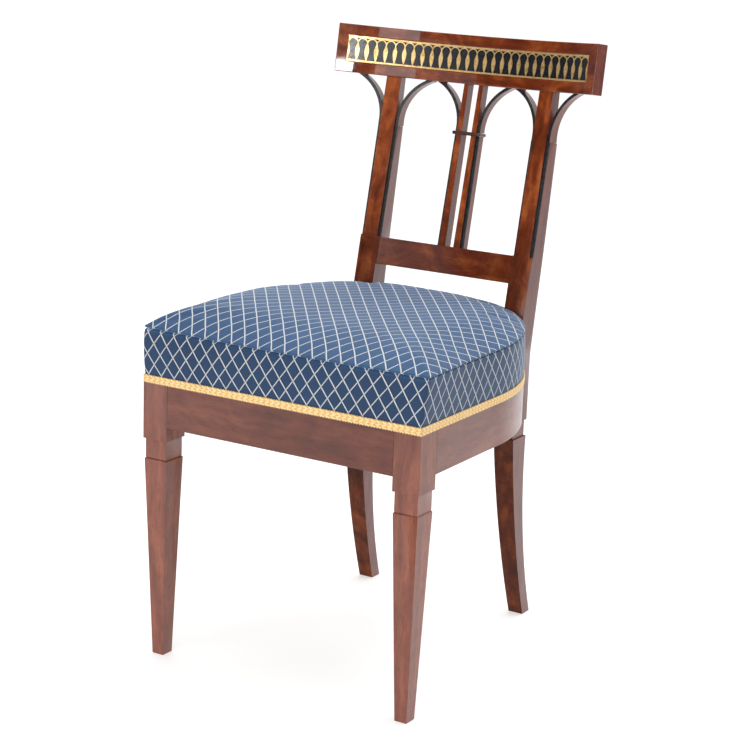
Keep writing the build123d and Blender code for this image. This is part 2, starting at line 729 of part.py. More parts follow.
# Gilt arcade: a thin strip pierced by round-headed openings that leave lances between them,
# and by a three-sided opening over each lance
arch_pitch = panel_length / arch_count
with BuildPart() as gilt_arcade:
    fret_back = panel_recess - ground_thickness
    half_head = (arch_pitch - arch_line) / 2
    arch_outer = half_head + arch_line
    band_bottom = panel_height - top_border
    spring = band_bottom + arch_lap - arch_outer
    head_top = spring + half_head
    widest = spring - lance_shoulder
    half_gap = (arch_pitch - lance_width) / 2
    half_foot = (arch_pitch - lance_tip) / 2
    with BuildSketch(back_plane(panel_bottom_run)):
        add(hollow_band(fret_back - fret_thickness, fret_back, panel_length))
    extrude(amount=panel_height)
    places = [(number + 0.5 - arch_count / 2) * arch_pitch for number in range(arch_count)]
    with BuildSketch(*[hollow_plane(panel_bottom_run, place) for place in places]):
        with BuildLine():
            Line((-half_foot, bottom_border), (half_foot, bottom_border))
            ThreePointArc((half_foot, bottom_border),
                          ((half_gap + half_foot) / 2 - lance_tip, (bottom_border + widest) / 2),
                          (half_gap, widest))
            Line((half_gap, widest), (half_head, spring))
            ThreePointArc((half_head, spring), (0, head_top), (-half_head, spring))
            Line((-half_head, spring), (-half_gap, widest))
            ThreePointArc((-half_gap, widest),
                          (lance_tip - (half_gap + half_foot) / 2, (bottom_border + widest) / 2),
                          (-half_foot, bottom_border))
        make_face()
    extrude(amount=panel_recess, both=True, mode=Mode.SUBTRACT)
    half_pitch = arch_pitch / 2
    top_rise = band_bottom - spring
    low_rise = math.sqrt(arch_outer**2 - half_pitch**2)
    half_top = half_pitch - math.sqrt(arch_outer**2 - top_rise**2)
    top_turn = math.degrees(math.asin(top_rise / arch_outer))
    low_turn = math.degrees(math.asin(low_rise / arch_outer))
    haunch = circle_point((-half_pitch, spring), arch_outer, (top_turn + low_turn) / 2)
    joints = [(number - arch_count / 2) * arch_pitch for number in range(1, arch_count)]
    with BuildSketch(*[hollow_plane(panel_bottom_run, joint) for joint in joints]):
        with BuildLine():
            Line((-half_top, band_bottom), (half_top, band_bottom))
            ThreePointArc((half_top, band_bottom), (-haunch[0], haunch[1]), (0, spring + low_rise))
            ThreePointArc((0, spring + low_rise), haunch, (-half_top, band_bottom))
        make_face()
    extrude(amount=panel_recess, both=True, mode=Mode.SUBTRACT)

# Corner blocks, scribed round the legs
with BuildPart() as front_corner_block_left:
    near_x = side_x - rail_thickness
    near_y = front_face + rail_thickness
    with BuildSketch(Plane.XY.offset(rail_bottom + corner_lift)):
        with BuildLine():
            Polyline((near_x, near_y), (near_x, near_y + corner_leg),
                     (near_x - corner_leg, near_y), close=True)
        make_face()
    extrude(amount=corner_height)
    add(front_leg_left.part, mode=Mode.SUBTRACT)
    add(corner_block_screws.part, mode=Mode.SUBTRACT)

with BuildPart() as front_corner_block_right:
    mirror(front_corner_block_left.part, about=Plane.YZ)

with BuildPart() as rear_corner_block_left:
    with BuildSketch(Plane.XY.offset(rail_bottom + corner_lift)):
        with BuildLine():
            Polyline((rear_block_inner, rear_block_y), (post_x, rear_block_y), rear_block_end,
                     close=True)
        make_face()
    extrude(amount=corner_height)
    for neighbour in (back_leg_left, side_seat_rail_left, rear_seat_rail, corner_block_screws):
        add(neighbour.part, mode=Mode.SUBTRACT)

with BuildPart() as rear_corner_block_right:
    mirror(rear_corner_block_left.part, about=Plane.YZ)

# Webbing on top of the rails, the crossing straps over the lengthways ones
with BuildPart() as webbing_lengthways:
    strap_front = front_face + cover_rebate + web_edge
    strap_back = post_middle + web_edge
    with BuildSketch(Plane.XY.offset(rail_top)):
        with Locations((0, (strap_front + strap_back) / 2)):
            with GridLocations(web_long_pitch, 0, web_count, 1):
                Rectangle(web_width, strap_back - strap_front)
    extrude(amount=web_thickness)

with BuildPart() as webbing_crossways:
    for number in range(web_count):
        strap_y = front_face + web_cross_first + number * web_cross_pitch
        strap_far = max(strap_y + web_width / 2, bend_y)
        strap_half = bend_point(cover_rebate + web_edge, strap_far)[0]
        with BuildSketch(Plane.XY.offset(rail_top + web_thickness)):
            with Locations((0, strap_y)):
                Rectangle(2 * strap_half, web_width)
        extrude(amount=web_thickness)

hessian_bottom = rail_top + 2 * web_thickness
hessian_top = hessian_bottom + hessian_thickness
with BuildPart() as hessian_base:
    with BuildSketch(Plane.XY.offset(hessian_bottom)):
        add(seat_outline(cover_rebate + web_edge))
    extrude(amount=hessian_thickness)
    add(back_leg_left.part, mode=Mode.SUBTRACT)
    add(back_leg_right.part, mode=Mode.SUBTRACT)

# Seat cover: a boxed border with a little swell, a seam drawn in, and a crowned top
seam = ledge + seam_height
border_steps = (
    (cover_inset, ledge),
    (cover_inset, ledge + braid_height),
    (-side_swell, ledge + 0.45 * seam_height),
    (cover_inset, ledge + 0.75 * seam_height),
    (seam_inset, seam),
)
crown_inset = crown_share * seat_width
crown_steps = [
    (seam_inset + share * (crown_inset - seam_inset),
     seam + crown_height * (1 - (1 - share) ** crown_power))
    for share in (0, 0.16, 0.45, 1)
]


def seat_body(inside):
    """Solid of the seat above the ledge, a given distance inside its outer skin."""
    with BuildPart() as body:
        for steps in (border_steps, crown_steps):
            for inset, height in steps:
                level = height - inside if height > ledge else height
                with BuildSketch(Plane.XY.offset(level)):
                    add(seat_outline(inset + inside))
            loft(ruled=True)
    return body.part


with BuildPart() as seat_stuffing:
    add(seat_body(cover_thickness + stuffing_gap))
    split(bisect_by=Plane.XY.offset(hessian_top), keep=Keep.TOP)
    add(back_leg_left.part, mode=Mode.SUBTRACT)
    add(back_leg_right.part, mode=Mode.SUBTRACT)

with BuildPart() as seat_cover:
    add(seat_body(0))
    add(seat_body(cover_thickness), mode=Mode.SUBTRACT)
    add(back_leg_left.part, mode=Mode.SUBTRACT)
    add(back_leg_right.part, mode=Mode.SUBTRACT)

with BuildPart() as seat_cover_top:
    add(seat_cover.part)
    split(bisect_by=Plane.XY.offset(seam), keep=Keep.TOP)

with BuildPart() as seat_boxing:
    add(seat_cover.part)
    split(bisect_by=Plane.XY.offset(seam), keep=Keep.BOTTOM)

with BuildPart() as seat_cover_boxing:
    add(seat_boxing.part.solids().sort_by(Axis.Y)[0])

with BuildPart() as seat_cover_back_boxing:
    add(seat_boxing.part.solids().sort_by(Axis.Y)[-1])

# Braid round the foot of the boxing, in two lengths between the back legs
with BuildPart() as braid_ring:
    with BuildSketch(Plane.XY.offset(ledge)):
        add(seat_outline(-braid_proud))
        add(seat_outline(cover_inset - braid_gap), mode=Mode.SUBTRACT)
    extrude(amount=braid_height)
    add(back_leg_left.part, mode=Mode.SUBTRACT)
    add(back_leg_right.part, mode=Mode.SUBTRACT)

with BuildPart() as seat_braid:
    add(braid_ring.part.solids().sort_by(Axis.Y)[0])

with BuildPart() as seat_braid_back:
    add(braid_ring.part.solids().sort_by(Axis.Y)[-1])

named_pieces = {
    "front_leg_left": front_leg_left,
    "front_leg_right": front_leg_right,
    "back_leg_left": back_leg_left,
    "back_leg_right": back_leg_right,
    "front_seat_rail": front_seat_rail,
    "side_seat_rail_left": side_seat_rail_left,
    "side_seat_rail_right": side_seat_rail_right,
    "rear_seat_rail": rear_seat_rail,
    "cross_rail": cross_rail,
    "crest_rail": crest_rail,
    "crest_panel_ground": crest_panel_ground,
    "gilt_arcade": gilt_arcade,
    "colonnette_left": colonnette_left,
    "colonnette_right": colonnette_right,
    "colonnette_collar": colonnette_collar,
    "colonnette_ebony_line_left": colonnette_ebony_line_left,
    "colonnette_ebony_line_right": colonnette_ebony_line_right,
    "front_corner_block_left": front_corner_block_left,
    "front_corner_block_right": front_corner_block_right,
    "rear_corner_block_left": rear_corner_block_left,
    "rear_corner_block_right": rear_corner_block_right,
    "corner_block_screws": corner_block_screws,
    "webbing_lengthways": webbing_lengthways,
    "webbing_crossways": webbing_crossways,
    "hessian_base": hessian_base,
    "seat_stuffing": seat_stuffing,
    "seat_cover_top": seat_cover_top,
    "seat_cover_boxing": seat_cover_boxing,
    "seat_cover_back_boxing": seat_cover_back_boxing,
    "seat_braid": seat_braid,
    "seat_braid_back": seat_braid_back,
}
for piece_name, piece in named_pieces.items():
    piece.part.label = piece_name

os.makedirs("parts", exist_ok=True)
for piece in [built.part for built in named_pieces.values()] + arch_ribs + ebony_lines:
    export_step(piece, f"parts/{piece.label}.step")
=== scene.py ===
import math

import bmesh
import bpy
import numpy as np
from mathutils import Matrix, Vector


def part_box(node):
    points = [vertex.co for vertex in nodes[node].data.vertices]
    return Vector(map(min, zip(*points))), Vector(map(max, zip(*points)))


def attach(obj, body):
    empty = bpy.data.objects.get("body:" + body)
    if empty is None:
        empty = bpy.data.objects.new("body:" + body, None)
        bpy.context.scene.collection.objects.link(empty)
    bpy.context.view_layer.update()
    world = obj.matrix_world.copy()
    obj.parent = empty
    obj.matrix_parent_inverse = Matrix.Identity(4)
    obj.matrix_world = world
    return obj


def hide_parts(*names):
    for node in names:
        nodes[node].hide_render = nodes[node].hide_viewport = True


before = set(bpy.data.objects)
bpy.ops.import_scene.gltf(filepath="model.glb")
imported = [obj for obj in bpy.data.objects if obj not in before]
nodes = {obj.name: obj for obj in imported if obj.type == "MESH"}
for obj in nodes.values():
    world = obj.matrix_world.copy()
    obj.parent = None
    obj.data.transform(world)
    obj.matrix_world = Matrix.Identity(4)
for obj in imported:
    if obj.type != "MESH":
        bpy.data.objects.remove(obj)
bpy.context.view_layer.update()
print("frame loaded")


# Shader helpers
def newMaterial(name):
    material = bpy.data.materials.new(name)
    material.use_nodes = True
    tree = material.node_tree
    tree.nodes.clear()
    output = tree.nodes.new("ShaderNodeOutputMaterial")
    shader = tree.nodes.new("ShaderNodeBsdfPrincipled")
    tree.links.new(shader.outputs["BSDF"], output.inputs["Surface"])
    return material, tree, shader


def addNode(tree, kind, inputs=None, **settings):
    node = tree.nodes.new(kind)
    for key, value in settings.items():
        setattr(node, key, value)
    for key, value in (inputs or {}).items():
        if isinstance(value, bpy.types.NodeSocket):
            tree.links.new(value, node.inputs[key])
        else:
            node.inputs[key].default_value = value
    return node


def objectPlace(tree):
    return addNode(tree, "ShaderNodeTexCoord").outputs["Object"]


def mathNode(tree, operation, a, b=None, c=None):
    values = {i: v for i, v in enumerate((a, b, c)) if v is not None}
    return addNode(tree, "ShaderNodeMath", values, operation=operation).outputs[0]


def vectorNode(tree, operation, a, b=None, output="Vector"):
    values = {i: v for i, v in enumerate((a, b)) if v is not None}
    return addNode(tree, "ShaderNodeVectorMath", values, operation=operation).outputs[output]


def noise(tree, place, scale, detail, output="Fac", **more):
    inputs = {"Vector": place, "Scale": scale, "Detail": detail}
    inputs.update({key.title(): value for key, value in more.items()})
    return addNode(tree, "ShaderNodeTexNoise", inputs).outputs[output]


def mixColour(tree, factor, a, b, blend="MIX"):
    node = tree.nodes.new("ShaderNodeMix")
    node.data_type = "RGBA"
    node.blend_type = blend
    for index, value in ((0, factor), (6, a), (7, b)):
        if isinstance(value, bpy.types.NodeSocket):
            tree.links.new(value, node.inputs[index])
        elif index == 0:
            node.inputs[index].default_value = value
        else:
            node.inputs[index].default_value = (*value, 1.0)
    return node.outputs[2]


def ramp(tree, factor, stops):
    node = tree.nodes.new("ShaderNodeValToRGB")
    band = node.color_ramp
    while len(band.elements) < len(stops):
        band.elements.new(0.5)
    for element, (place, colour) in zip(band.elements, stops):
        element.position = place
        element.color = (*colour, 1.0)
    tree.links.new(factor, node.inputs[0])
    return node.outputs[0]


def rangeNode(tree, value, low, high, toLow, toHigh):
    node = addNode(tree, "ShaderNodeMapRange", {
        "Value": value, "From Min": low, "From Max": high, "To Min": toLow, "To Max": toHigh})
    return node.outputs[0]


def addBump(tree, shader, height, strength, distance):
    bump = addNode(tree, "ShaderNodeBump", {"Height": height, "Strength": strength, "Distance": distance})
    tree.links.new(bump.outputs[0], shader.inputs["Normal"])


# Polished mahogany: fibre streaks, broad flame figure and short dark pores along the grain
grain = {"warpScale": 7.0, "warp": 0.035, "fibreScale": 95.0, "broadScale": 16.0, "flameScale": 13.0,
         "poreScale": 520.0, "poreShare": 0.45, "poreTone": 0.45, "smearScale": 22.0, "gloss": (0.30, 0.44),
         "bump": 0.10, "bumpDepth": 0.0004, "stileTurn": (math.radians(11), 0, 0)}


def makeMahogany(name, stretch, turn=(0, 0, 0), figure=0.30, coat=0.30, shine=0.30, polish=(0.08, 0.20),
                 paintedShadeBand=None, dark=(0.055, 0.012, 0.007), mid=(0.125, 0.030, 0.017),
                 light=(0.230, 0.066, 0.034)):
    material, tree, shader = newMaterial(name)
    place = objectPlace(tree)
    turned = addNode(tree, "ShaderNodeMapping", {"Vector": place, "Rotation": turn}).outputs[0]
    warp = noise(tree, turned, grain["warpScale"], 3.0, output="Color")
    bent = vectorNode(tree, "MULTIPLY", warp, (grain["warp"],) * 3)
    wavy = vectorNode(tree, "ADD", turned, bent)
    along = addNode(tree, "ShaderNodeMapping", {"Vector": wavy, "Scale": stretch}).outputs[0]
    fibre = noise(tree, along, grain["fibreScale"], 9.0, roughness=0.62)
    broad = noise(tree, along, grain["broadScale"], 4.0, roughness=0.55, distortion=1.6)
    flame = noise(tree, wavy, grain["flameScale"], 5.0, roughness=0.6, distortion=2.2)
    tone = mathNode(tree, "MULTIPLY_ADD", fibre, 0.55, mathNode(tree, "MULTIPLY", broad, 0.6))
    flare = mathNode(tree, "MULTIPLY", mathNode(tree, "SUBTRACT", flame, 0.5), figure)
    tone = mathNode(tree, "ADD", tone, flare)
    colour = ramp(tree, tone, ((0.30, dark), (0.55, mid), (0.82, light)))
    fine = noise(tree, along, grain["poreScale"], 2.0, roughness=0.5)
    pores = rangeNode(tree, fine, 0.60, 0.70, 0.0, 1.0)
    poreColour = tuple(grain["poreTone"] * c for c in dark)
    colour = mixColour(tree, mathNode(tree, "MULTIPLY", pores, grain["poreShare"]), colour, poreColour)
    if paintedShadeBand is not None:                         # painted shade: darkened at the first height, full tone at the second
        height = addNode(tree, "ShaderNodeSeparateXYZ", {0: place}).outputs[2]
        share = rangeNode(tree, height, paintedShadeBand[0], paintedShadeBand[1], 0.0, 1.0)
        shade = ramp(tree, share, ((0.0, (paintedShadeBand[2],) * 3), (1.0, (1.0, 1.0, 1.0))))
        colour = mixColour(tree, 1.0, colour, shade, blend="MULTIPLY")
    tree.links.new(colour, shader.inputs["Base Color"])
    smear = noise(tree, place, grain["smearScale"], 4.0)
    tree.links.new(rangeNode(tree, smear, 0.3, 0.7, *grain["gloss"]), shader.inputs["Roughness"])
    tree.links.new(rangeNode(tree, smear, 0.3, 0.7, *polish), shader.inputs["Coat Roughness"])
    shader.inputs["Coat Weight"].default_value = coat
    shader.inputs["Coat IOR"].default_value = 1.5
    shader.inputs["Specular IOR Level"].default_value = shine
    relief = mathNode(tree, "SUBTRACT", mathNode(tree, "MULTIPLY", fibre, 0.4), pores)
    addBump(tree, shader, relief, grain["bump"], grain["bumpDepth"])
    return material


backTones = {"dark": (0.045, 0.007, 0.002), "mid": (0.150, 0.025, 0.006), "light": (0.340, 0.080, 0.017)}
# painted shade: the front legs darkened towards their tops, under the seat
woodUpright = makeMahogany(
    "mahoganyUpright", (1.0, 1.0, 0.09), coat=0.5, paintedShadeBand=(0.40, 0.30, 0.80),
    dark=(0.090, 0.022, 0.012), mid=(0.200, 0.052, 0.028), light=(0.340, 0.105, 0.056))
# painted shade: the stiles and colonnettes darkened towards the bottom, near the seat
woodStile = makeMahogany(
    "mahoganyStile", (1.0, 1.0, 0.14), turn=grain["stileTurn"], figure=0.75, coat=0.2, shine=0.08,
    polish=(0.24, 0.32), paintedShadeBand=(0.46, 0.64, 0.47),
    dark=(0.050, 0.008, 0.002), mid=(0.200, 0.036, 0.008), light=(0.460, 0.115, 0.026))
# painted shade: a darker, greyer copy of the stile mahogany for side faces turned from the light, the crest
# ends and the ribs
woodStileShadedSide = makeMahogany(
    "mahoganyStileShadedSide", (1.0, 1.0, 0.08), turn=grain["stileTurn"], coat=0.70, shine=0.20,
    polish=(0.10, 0.20), dark=(0.050, 0.012, 0.009), mid=(0.140, 0.035, 0.025), light=(0.240, 0.070, 0.048))
woodRail = makeMahogany("mahoganyRail", (0.14, 1.0, 1.0), figure=0.35)
woodSide = makeMahogany(
    "mahoganySide", (1.0, 0.14, 1.0), coat=0.6,
    dark=(0.075, 0.017, 0.010), mid=(0.165, 0.040, 0.024), light=(0.280, 0.082, 0.046))
woodCrest = makeMahogany(
    "mahoganyCrest", (0.12, 1.0, 1.0), figure=0.8, coat=0.85, shine=0.08, polish=(0.02, 0.045), **backTones)
woodCross = makeMahogany(
    "mahoganyCross", (0.12, 1.0, 1.0), figure=0.8, coat=0.7, shine=0.08, polish=(0.14, 0.22), **backTones)
woodCollar = makeMahogany(
    "mahoganyCollar", (0.2, 1.0, 1.0), coat=0.4,
    dark=(0.018, 0.005, 0.004), mid=(0.045, 0.014, 0.011), light=(0.090, 0.032, 0.024))


# real ebonised black for the lines and rib fronts, also used as painted shade on the rebate walls
def makeEbonyAndWallShade():
    material, tree, shader = newMaterial("ebonised")
    speck = noise(tree, objectPlace(tree), 180.0, 5.0)
    colour = ramp(tree, speck, ((0.35, (0.006, 0.006, 0.008)), (0.7, (0.030, 0.027, 0.028))))
    tree.links.new(colour, shader.inputs["Base Color"])
    tree.links.new(rangeNode(tree, speck, 0.3, 0.7, 0.28, 0.5), shader.inputs["Roughness"])
    addBump(tree, shader, speck, 0.08, 0.0003)
    return material


def makeGilt():
    material, tree, shader = newMaterial("gilt")
    rub = noise(tree, objectPlace(tree), 140.0, 6.0, roughness=0.65)
    colour = ramp(tree, rub, (
        (0.28, (0.34, 0.17, 0.05)), (0.45, (0.82, 0.52, 0.20)), (0.75, (1.0, 0.78, 0.42))))
    tree.links.new(colour, shader.inputs["Base Color"])
    shader.inputs["Metallic"].default_value = 0.75
    tree.links.new(rangeNode(tree, rub, 0.3, 0.7, 0.42, 0.26), shader.inputs["Roughness"])
    return material


def makePlain(name, low, high, scale, roughness, metal=0.0):
    material, tree, shader = newMaterial(name)
    spots = noise(tree, objectPlace(tree), scale, 7.0, roughness=0.65)
    tree.links.new(ramp(tree, spots, ((0.3, low), (0.7, high))), shader.inputs["Base Color"])
    shader.inputs["Roughness"].default_value = roughness
    shader.inputs["Metallic"].default_value = metal
    addBump(tree, shader, spots, 0.25, 0.0004)
    return material


ebonised = makeEbonyAndWallShade()
gilt = makeGilt()
groundMaterial = makePlain("panelGround", (0.004, 0.005, 0.007), (0.020, 0.022, 0.028), 260.0, 0.22)
blockWood = makePlain("glueBlock", (0.30, 0.18, 0.09), (0.48, 0.32, 0.18), 60.0, 0.75)
screwSteel = makePlain("screwSteel", (0.20, 0.19, 0.18), (0.42, 0.41, 0.39), 300.0, 0.4, metal=1.0)
jute = makePlain("jute", (0.28, 0.20, 0.11), (0.52, 0.41, 0.26), 420.0, 0.9)
print("wood and ornament materials made")


# Mesh helpers
def addPiece(name, mesh, material):
    piece = bpy.data.objects.new(name, mesh)
    bpy.context.scene.collection.objects.link(piece)
    mesh.materials.append(material)
    return piece


def coatNode(name, material):
    nodes[name].data.materials.clear()
    nodes[name].data.materials.append(material)


def readRows(items, field, width=3):
    values = np.empty(len(items) * width)
    items.foreach_get(field, values)
    return values.reshape(-1, width)


def shadeSmooth(mesh):
    mesh.polygons.foreach_set("use_smooth", [True] * len(mesh.polygons))


def gridQuads(grid, turned=False):
    second, fourth = grid[1:, :-1], grid[:-1, 1:]
    if turned:
        second, fourth = fourth, second
    return np.stack([grid[:-1, :-1], second, grid[1:, 1:], fourth], -1).reshape(-1, 4)


# Copies of the wooden nodes with their edges eased; the ribs are also made as deep as the strips below
easing = {"weld": 2e-6, "flat": math.radians(0.6), "sharp": math.radians(32), "sideways": 0.6}
lines = {"low": 0.560, "ribFoot": 0.7284, "wallEnd": 0.742, "ribHead": 0.800, "stileAt": 0.131,
         "reach": 0.0140, "edge": 0.002, "wallFacing": 0.9, "ribFacing": 0.75}
ribs = {"inner": (0.0198, 0.0137), "outer": (0.0198, 0.0137), "colonnette": (0.0134, 0.0134)}    # foot, head
rake = math.radians(8.66)
forwards = np.array((0.0, -math.cos(rake), math.sin(rake)))


def easedCopy(node, material, width, segments=2, darkFaces=None, shadedSideWood=None, deepen=None):
    mesh = nodes[node].data.copy()
    mesh.materials.clear()
    work = bmesh.new()
    work.from_mesh(mesh)
    bmesh.ops.remove_doubles(work, verts=work.verts, dist=easing["weld"])
    bmesh.ops.dissolve_limit(work, angle_limit=easing["flat"], verts=work.verts, edges=work.edges)
    if darkFaces is not None:                    # the painted shade on the rebate walls ends a little over the rib foot
        bmesh.ops.bisect_plane(work, geom=work.verts[:] + work.edges[:] + work.faces[:],
                               plane_co=(0, 0, lines["wallEnd"]), plane_no=(0, 0, 1))
    work.to_mesh(mesh)
    work.free()
    piece = addPiece(node + "_eased", mesh, material)
    normals, centres = readRows(mesh.polygons, "normal"), readRows(mesh.polygons, "center")
    kinds = np.zeros(len(mesh.polygons), np.int32)
    if shadedSideWood is not None:
        mesh.materials.append(shadedSideWood)
        # side faces take the shaded copy: painted shade
        kinds[abs(normals[:, 0]) > easing["sideways"]] = 1
    if darkFaces is not None:
        mesh.materials.append(ebonised)
        kinds[darkFaces(normals, centres)] = len(mesh.materials) - 1
    mesh.polygons.foreach_set("material_index", kinds)
    if deepen is not None:
        deepen(mesh)
    shadeSmooth(mesh)
    mesh.set_sharp_from_angle(angle=easing["sharp"])
    bevel = piece.modifiers.new("eased", "BEVEL")
    bevel.width = width
    bevel.segments = segments
    bevel.limit_method = "ANGLE"
    bevel.angle_limit = easing["sharp"]
    bevel.harden_normals = True
    bevel.use_clamp_overlap = True
    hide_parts(node)
    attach(piece, "root")


def ribFront(normals, centres):
    return normals @ forwards > lines["ribFacing"]


def alongLines(centres):
    return (centres[:, 2] > lines["low"]) & (centres[:, 2] < lines["wallEnd"])


def stileWallShade(normals, centres):
    # painted shade: walls of the two rebates beside the ebony lines, made black as they lie in shadow
    beside = abs(abs(centres[:, 0]) - lines["stileAt"]) < lines["reach"]
    return (abs(normals[:, 0]) > lines["wallFacing"]) & beside & alongLines(centres)


def colonnetteWallShade(normals, centres):
    # painted shade: wall of the one rebate, inside the outer side of the colonnette, made black as it lies
    # in shadow
    outward = normals[:, 0] * np.sign(centres[:, 0].mean())
    within = abs(centres[:, 0]) < abs(centres[:, 0]).max() - lines["edge"]
    return (outward > lines["wallFacing"]) & within & alongLines(centres)


def deeperRib(foot, head):
    # the rear of the rib lies straight behind its front, by foot at its base and by head under the crest
    frontFacing, rearFrom, upright = 0.9, 0.006, 0.65

    def deepen(mesh):
        points, normals = readRows(mesh.vertices, "co"), readRows(mesh.polygons, "normal")
        areas = readRows(mesh.polygons, "area", 1)
        facing = normals @ forwards > frontFacing
        ahead = (normals[facing] * areas[facing]).sum(0)
        ahead /= np.linalg.norm(ahead)
        depth = (points @ ahead).max() - points @ ahead
        rear = depth > rearFrom
        share = np.clip((points[:, 2] - lines["ribFoot"]) / (lines["ribHead"] - lines["ribFoot"]), 0, 1)
        behind = foot + share * (head - foot)
        backward = -(upright * forwards + (1 - upright) * ahead)
        points += np.where(rear, depth, 0)[:, None] * ahead + np.where(rear, behind, 0)[:, None] * backward
        mesh.vertices.foreach_set("co", points.ravel())
    return deepen


for side in ("left", "right"):
    easedCopy("front_leg_" + side, woodUpright, 0.0009)
    easedCopy("back_leg_" + side, woodStile, 0.0008, darkFaces=stileWallShade, shadedSideWood=woodStileShadedSide)
    easedCopy("side_seat_rail_" + side, woodSide, 0.0010)
    easedCopy("colonnette_" + side, woodStile, 0.0004, darkFaces=colonnetteWallShade, shadedSideWood=woodStileShadedSide)
    for kind, (foot, head) in ribs.items():
        easedCopy(kind + "_arch_rib_" + side, woodStileShadedSide, 0.0003, darkFaces=ribFront,
                  deepen=deeperRib(foot, head))
        coatNode(kind + "_ebony_line_" + side, ebonised)
    for end in ("front", "rear"):
        coatNode(end + "_corner_block_" + side, blockWood)
easedCopy("front_seat_rail", woodRail, 0.0008)
easedCopy("rear_seat_rail", woodRail, 0.0010)
easedCopy("cross_rail", woodCross, 0.0010)
easedCopy("crest_rail", woodCrest, 0.0014, segments=3, shadedSideWood=woodStileShadedSide)
easedCopy("colonnette_collar", woodCollar, 0.0004)
coatNode("crest_panel_ground", groundMaterial)
coatNode("gilt_arcade", gilt)
coatNode("corner_block_screws", screwSteel)
for name in ("webbing_lengthways", "webbing_crossways", "hessian_base"):
    coatNode(name, jute)
print("wooden pieces eased")


# Seat pad. Plan in metres with y counted from the front face: straight front and sides,
# sides bending in on an arc to the back legs, and a rear arc between them
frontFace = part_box("front_seat_rail")[0].y
plan = {"halfWidth": 0.225, "straight": 0.215, "bendRadius": 0.28677, "rearRadius": 0.545, "rearY": -0.09111}
pad = {"across": 75, "along": 71, "ledge": 0.406, "seam": 0.0782, "topInset": 0.0034, "floor": 0.0224,
       "crown": 0.0212, "slope": 0.100, "power": 3.2,
       "tilt": 0.0035, "tiltSpan": 0.2, "swell": 0.0085, "swellAt": 0.15, "swellReach": 0.12,
       "pressure": 4.0, "frames": 20, "cap": 0.006, "clothDrop": 0.0035}
border = {"inset": 0.0018, "swell": 0.0016, "fullness": 0.8, "top": 0.0714, "drop": 0.0710, "rows": 18}
lean = {"from": 0.012, "over": 0.062, "power": 1.2,
        "corners": ((1, 0.0085, 0.0020, 0.115), (-1, 0.0035, 0.0022, 0.09))}     # side, out, lift, reach


def easedSteps(count):
    steps = np.linspace(0, 1, count)
    return 0.6 * steps + 0.4 * (0.5 - 0.5 * np.cos(np.pi * steps))       # closer together near both ends


def rimLoop(inset, across, along):
    # loop of plan points at an inset: front, right side, rear from right to left, left side
    edge, bend, rear = (plan[key] - inset for key in ("halfWidth", "bendRadius", "rearRadius"))
    bendX = plan["halfWidth"] - plan["bendRadius"]
    stepX, stepY = -bendX, plan["rearY"] - plan["straight"]
    span = math.hypot(stepX, stepY)
    reach = (bend**2 - rear**2 + span**2) / (2 * span)
    off = math.sqrt(bend**2 - reach**2)
    cornerX = bendX + (reach * stepX - off * stepY) / span
    cornerY = plan["straight"] + (reach * stepY + off * stepX) / span
    run = plan["straight"] - inset
    length = along * (run + bend * math.asin((cornerY - plan["straight"]) / bend))
    angle = np.clip((length - run) / bend, 0, None)
    side = np.stack([np.where(length < run, edge, bendX + bend * np.cos(angle)),
                     np.where(length < run, inset + length, plan["straight"] + bend * np.sin(angle))], 1)
    swing = (1 - 2 * across) * math.asin(cornerX / rear)
    back = np.stack([rear * np.sin(swing), plan["rearY"] + rear * np.cos(swing)], 1)
    front = np.stack([edge * (2 * across - 1), np.full_like(across, inset)], 1)
    return np.concatenate([front[:-1], side[:-1], back[:-1], (side * (-1, 1))[::-1][:-1]])


def crownHeight(x, y, inset):
    # rise over the seam: 1 - (1 - d / slope) ** power from each edge, softly the least of the three
    edge, bend, rear = (plan[key] - inset for key in ("halfWidth", "bendRadius", "rearRadius"))
    bendX = plan["halfWidth"] - plan["bendRadius"]
    bendGap = bend - np.hypot(abs(x) - bendX, y - plan["straight"])
    sideGap = np.where(y < plan["straight"], edge - abs(x), bendGap)
    total = 0
    for gap in (sideGap, y - inset, rear - np.hypot(x, y - plan["rearY"])):
        share = 1 - (1 - np.clip(gap / pad["slope"], 1e-4, 1)) ** pad["power"]
        total = total + share**-5.0
    return pad["crown"] * (total / 3) ** -0.2


def padRows():
    # boxing profile from the top edge down: lip, groove of the seam, swelling border, turned-in foot
    rows = [(0.0018, 0.0772), (0.0017, 0.0760), (0.0030, 0.0746),
            (0.0056, 0.0740), (0.0030, 0.0730), (0.0021, border["top"])]
    for share in np.linspace(0, 1, border["rows"] + 1)[1:]:
        bulge = border["swell"] * math.sin(math.pi * share) ** border["fullness"]
        rows.append((border["inset"] - bulge, border["top"] - share * border["drop"]))
    return rows + [(0.0022, 0.0003), (0.0025, 0.0012), (0.0025, pad["floor"])]


def leanField(points):
    # the front corners of the seam stand out over the rail, the right one more
    up = np.clip((points[:, 2] - pad["ledge"] - lean["from"]) / lean["over"], 0, 1) ** lean["power"]
    for side, out, lift, reach in lean["corners"]:
        near = np.exp(-((points[:, 0] - side * plan["halfWidth"])**2 + points[:, 1]**2) / reach**2)
        points[:, 0] += side * out * up * near
        points[:, 2] += lift * up * near
    return points


